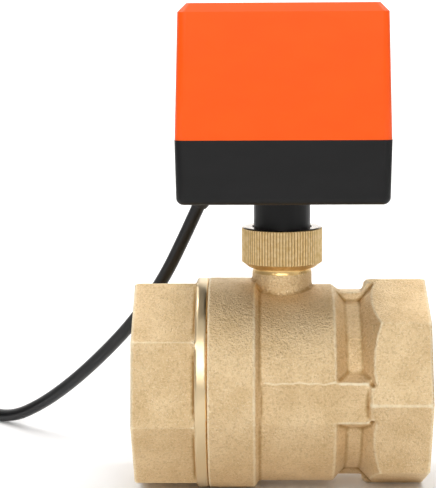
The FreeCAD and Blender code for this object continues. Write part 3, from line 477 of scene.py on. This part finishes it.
# --- castings -----------------------------------------------------------------------
def vertex_arrays(mesh):
    """The vertices' places and normals, and the vertex pairs of the edges."""
    count = len(mesh.vertices)
    places = np.empty(count * 3)
    mesh.vertices.foreach_get("co", places)
    normals = np.empty(count * 3)
    mesh.vertices.foreach_get("normal", normals)
    edges = np.empty(len(mesh.edges) * 2, dtype=np.int64)
    mesh.edges.foreach_get("vertices", edges)
    return places.reshape(-1, 3), normals.reshape(-1, 3), edges.reshape(-1, 2)


def smoothed(places, edges, weight, rounds):
    """Relaxes the vertices towards their neighbours' middle, by weight (0 keeps one still)."""
    count = len(places)
    both = np.concatenate([edges, edges[:, ::-1]])
    share = np.bincount(both[:, 0], minlength=count).clip(1)[:, None]
    for _ in range(rounds):
        total = np.stack([np.bincount(both[:, 0], places[both[:, 1], k], count) for k in range(3)], 1)
        places = places + (total / share - places) * weight[:, None]
    return places


def remeshed(node, name, voxel):
    """A fresh, evenly meshed copy of a CAD node's shape."""
    source = NODES[node]
    copy = bpy.data.objects.new(name, source.data.copy())
    bpy.context.scene.collection.objects.link(copy)
    weld = copy.modifiers.new("weld", "WELD")
    weld.merge_threshold = 0.005 * MM
    remesh = copy.modifiers.new("remesh", "REMESH")
    remesh.mode = "VOXEL"
    remesh.voxel_size = voxel
    remesh.use_smooth_shade = True
    mesh = evaluated_mesh(copy)
    copy.modifiers.clear()
    copy.data = mesh
    mesh.name = name
    return copy


def ripple(places, size, seed):
    """Noise from -1 to 1 at each place, with waves of about that size."""
    offset = Vector((seed, seed * 0.7, -seed))
    return np.array([noise.noise(Vector(p) / size + offset) for p in places])


def flash_lip(places):
    """The wavy lips left along both borders of the trimmed parting line, front and back."""
    run_out = 2 * MM
    lip_width = 0.55 * MM
    x, y, z = places.T
    band_middle = (WAIST_X + OCTAGON_X) / 2
    on_band = np.clip((x - WAIST_X) / run_out, 0, 1) * np.clip((OCTAGON_X - x) / run_out, 0, 1)
    wave = 0.35 * MM * np.sin((x - band_middle) / (3.1 * MM)) * np.sin(x / (1.3 * MM))
    lift = np.zeros(len(places))
    for level, height in ((BAND_HALF, 0.22 * MM), (-BAND_HALF, 0.05 * MM)):
        off = z - (AXIS_Z + level + wave)
        lift += height * np.exp(-(off / lip_width) ** 2)
    return lift * on_band * (np.abs(y) > BAND_Y)


def mark_edges(mesh, places, normals, edges):
    """Stores how far each vertex stands out of its surroundings: above 0 on edges, below in corners."""
    full_height = 0.24 * MM
    broad = smoothed(places, edges, np.full(len(places), 0.5), 8)
    stands_out = ((places - broad) * normals).sum(1) / full_height
    layer = mesh.attributes.new("edge", "FLOAT", "POINT")
    layer.data.foreach_set("value", np.clip(stands_out, -1.0, 1.0).astype(np.float32))


def cast_piece(node, name, machined, materials, lift=None):
    """Casting with rounded edges and a slightly uneven skin. machined(places, normals) is true for
    the vertices that were turned, which keep their shape and take the second material. lift(places)
    adds to the skin."""
    piece = remeshed(node, name, 0.5 * MM)
    mesh = piece.data
    places, normals, edges = vertex_arrays(mesh)
    turned = machined(places, normals)
    rough = np.where(turned, 0.0, 1.0)
    places = smoothed(places, edges, 0.5 * rough, 1)
    skin = 0.050 * MM * ripple(places, 2.6 * MM, 3.1) + 0.035 * MM * ripple(places, 1.5 * MM, 7.7)
    if lift:
        skin += lift(places)
    places, on_collar = trued_collar(places)
    places = places + normals * (skin * rough * ~on_collar)[:, None]
    places = np.clip(places, *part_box(node))
    mesh.vertices.foreach_set("co", places.ravel())
    mark_edges(mesh, places, normals, edges)
    mesh.materials.clear()
    for material in materials:
        mesh.materials.append(MATERIALS[material])
    first_corners = np.array([face.vertices[0] for face in mesh.polygons])
    mesh.polygons.foreach_set("material_index", turned[first_corners].astype(np.int32))
    mesh.polygons.foreach_set("use_smooth", np.ones(len(mesh.polygons), dtype=bool))
    mesh.update()
    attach(piece, "housing")
    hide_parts(node)


def from_axis(places):
    """Each place's offset from the flow axis, in Y and Z, and its distance from it."""
    offset = places[:, 1:] - np.array([0.0, AXIS_Z])
    return offset, np.linalg.norm(offset, axis=1).clip(1e-9)


def bored(places, normals):
    """True for walls that face the flow axis, such as bores and threads, and for all near it."""
    offset, radius = from_axis(places)
    outward = (offset / radius[:, None] * normals[:, 1:]).sum(1)
    return (outward < -0.25) | (radius < BORE_R)


def trued_collar(places):
    """The cap's collar is turned, so its wall is brought back to a true cylinder."""
    x = places[:, 0]
    offset, radius = from_axis(places)
    on_collar = (x > COLLAR_X) & (x < JOINT_X) & (radius > COLLAR_R - 0.8 * MM)
    wall = on_collar & (x > COLLAR_X + 0.6 * MM) & (x < JOINT_X - 0.4 * MM)
    wall |= on_collar & (x > COLLAR_X + 0.05 * MM) & (radius > COLLAR_R)
    places = places.copy()
    places[wall, 1:] = (offset * (COLLAR_R / radius)[:, None])[wall] + np.array([0.0, AXIS_Z])
    return places, on_collar


def body_finish(places, normals):
    """The body is turned in its bores, on both end faces and on its neck."""
    mouth = (normals[:, 0] > 0.8) & (places[:, 0] > BODY_HIGH.x - 0.5 * MM)
    joint = (normals[:, 0] < -0.8) & (places[:, 0] < BODY_LOW.x + 0.6 * MM)
    neck = places[:, 2] > NECK_STEP_Z - 0.2 * MM
    return bored(places, normals) | mouth | joint | neck


def cap_finish(places, normals):
    """The end cap is turned in its bore, on its mouth and on the spigot that goes into the body."""
    mouth = (normals[:, 0] < -0.8) & (places[:, 0] < CAP_LOW.x + 0.5 * MM)
    spigot = places[:, 0] > JOINT_X - 0.1 * MM
    return bored(places, normals) | mouth | spigot


def add_castings():
    cast_piece("valve_body", "valve_casting", body_finish, ("cast_brass", "turned_brass"), flash_lip)
    cast_piece("end_cap", "end_cap_casting", cap_finish, ("cap_brass", "turned_brass"))


# --- pipe threads -------------------------------------------------------------------
def add_port_thread(name, mouth_x, inward):
    """The G2 thread inside a port: a ridge that winds along the wall. Its profile has places along
    the axis in mm, and heights as shares of the ridge's, below 0 towards the axis."""
    pitch, wall_r, crest_r = 2.309 * MM, 29.8 * MM, 28.45 * MM
    profile = ((-1.02, 0.12), (-0.95, 0.0), (-0.32, -0.86), (-0.18, -1.0), (0.18, -1.0), (0.32, -0.86),
               (0.95, 0.0), (1.02, 0.12))
    height = wall_r - crest_r
    start = 1.6 * MM
    turns, sides, fading = 7, 72, 24
    steps = turns * sides
    mesh = bmesh.new()
    rings = []
    for k in range(steps + 1):
        turn = 2 * math.pi * k / sides
        x = mouth_x + inward * (start + pitch * k / sides)
        fade = min(1.0, k / fading, (steps - k) / fading)
        ring = []
        for dx, lift in profile:
            r = wall_r + lift * height * (fade if lift < 0 else 1.0)
            place = (x + dx * MM, r * math.cos(turn), AXIS_Z + r * math.sin(turn))
            ring.append(mesh.verts.new(place))
        rings.append(ring)
    count = len(profile)
    for a, b in zip(rings, rings[1:]):
        for k in range(count):
            m = (k + 1) % count
            mesh.faces.new((a[k], a[m], b[m], b[k]))
    mesh.faces.new(rings[0])
    mesh.faces.new(rings[-1])
    bmesh.ops.recalc_face_normals(mesh, faces=mesh.faces)
    thread = as_object(mesh, name)
    shade_smooth(thread)
    thread.data.materials.append(MATERIALS["turned_brass"])
    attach(thread, "housing")


def add_threads():
    add_port_thread("inlet_thread", CAP_LOW.x, 1)
    add_port_thread("outlet_thread", BODY_HIGH.x, -1)


# --- CAD nodes that stay --------------------------------------------------------------
SPECIAL = {"union_nut": "knurled_brass"}    # nodes with another look than their slot's
ROUNDING = {                                # widths of the rounded edges
    "actuator_base": 0.45 * MM,
    "actuator_cover": 0.5 * MM,
    "actuator_neck": 0.3 * MM,
    "union_nut": 0.12 * MM,
    "cover_screws": 0.15 * MM,
}
REPLACED = {"valve_body", "end_cap", "lead_tube", "lead_coil", "lead_tail", "lead_cores"}


def finish_nodes():
    """Gives each CAD node its material, and rounds the edges of the ones that are seen."""
    slots = {part["node"]: part["material_slot"] for part in frame["record"]["subparts"]}
    for name, node in NODES.items():
        if name in REPLACED:
            continue
        material = MATERIALS[SPECIAL.get(name, slots[name])]
        if not node.material_slots:
            node.data.materials.append(material)
        for slot in node.material_slots:
            slot.material = material
        if name in ROUNDING:
            round_edges(node, ROUNDING[name])


def round_edges(node, width):
    weld = node.modifiers.new("weld", "WELD")
    weld.merge_threshold = 0.002 * MM
    bevel = node.modifiers.new("round_edges", "BEVEL")
    bevel.width = width
    bevel.segments = 3
    bevel.limit_method = "ANGLE"
    bevel.angle_limit = math.radians(28)
    bevel.harden_normals = True


add_camera()
add_floor()
add_light()
add_lead()
add_castings()
add_threads()
finish_nodes()
